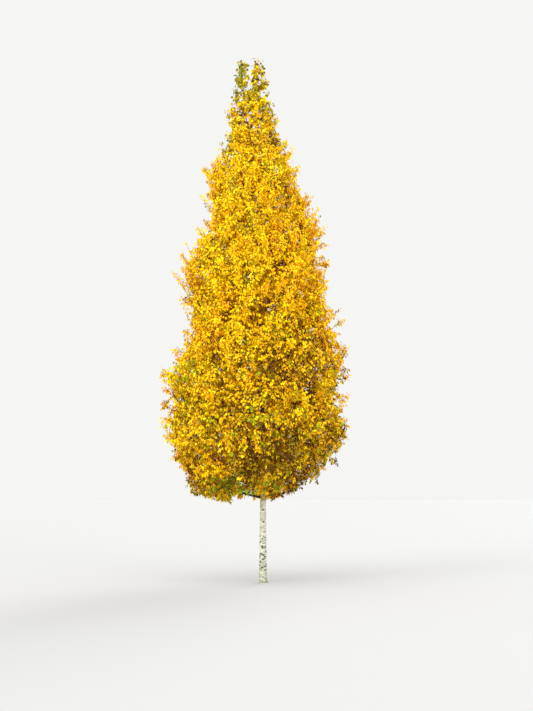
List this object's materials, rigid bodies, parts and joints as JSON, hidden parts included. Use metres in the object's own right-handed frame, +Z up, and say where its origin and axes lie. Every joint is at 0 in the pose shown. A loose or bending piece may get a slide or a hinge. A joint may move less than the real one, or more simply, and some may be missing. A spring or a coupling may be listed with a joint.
{
  "type": "columnar birch tree",
  "caption": "Tall narrow birch in golden autumn leaf: a slender white trunk, ascending boughs and a dense spindle-shaped crown that tapers to two leading shoots.",
  "frame": {"origin": "centre of the trunk's flat cut at ground level", "axes": "+Z up, from the ground to the top of the crown; +X to the right and +Y to the back, as seen from the front"},
  "size_m": [3.4563, 3.255, 9.9927],
  "materials": {
    "trunk_bark": "matte, smooth white bark with dark cross marks",
    "bough_bark": "matte dark brown bark",
    "foliage": "satin golden leaves"
  },
  "bodies": {
    "root": {"bough_01": "bough_bark", "bough_02": "bough_bark", "bough_03": "bough_bark", "bough_04": "bough_bark", "bough_05": "bough_bark", "bough_06": "bough_bark", "bough_07": "bough_bark", "bough_08": "bough_bark", "bough_09": "bough_bark", "bough_10": "bough_bark", "bough_11": "bough_bark", "bough_12": "bough_bark", "bough_13": "bough_bark", "bough_14": "bough_bark", "bough_15": "bough_bark", "bough_16": "bough_bark", "bough_17": "bough_bark", "bough_18": "bough_bark", "bough_19": "bough_bark", "bough_20": "bough_bark", "foliage_01": "foliage", "foliage_02": "foliage", "foliage_03": "foliage", "foliage_04": "foliage", "foliage_05": "foliage", "foliage_06": "foliage", "foliage_07": "foliage", "foliage_08": "foliage", "foliage_09": "foliage", "foliage_10": "foliage", "foliage_11": "foliage", "foliage_12": "foliage", "foliage_13": "foliage", "foliage_14": "foliage", "foliage_15": "foliage", "foliage_16": "foliage", "foliage_17": "foliage", "foliage_18": "foliage", "foliage_19": "foliage", "foliage_20": "foliage", "foliage_21": "foliage", "foliage_22": "foliage", "foliage_23": "foliage", "foliage_24": "foliage", "foliage_25": "foliage", "foliage_26": "foliage", "foliage_27": "foliage", "foliage_28": "foliage", "foliage_29": "foliage", "foliage_30": "foliage", "foliage_31": "foliage", "foliage_32": "foliage", "foliage_33": "foliage", "foliage_34": "foliage", "foliage_top_left": "foliage", "foliage_top_right": "foliage", "limb_top_left": "bough_bark", "trunk": "trunk_bark"}
  },
  "joints": []
}
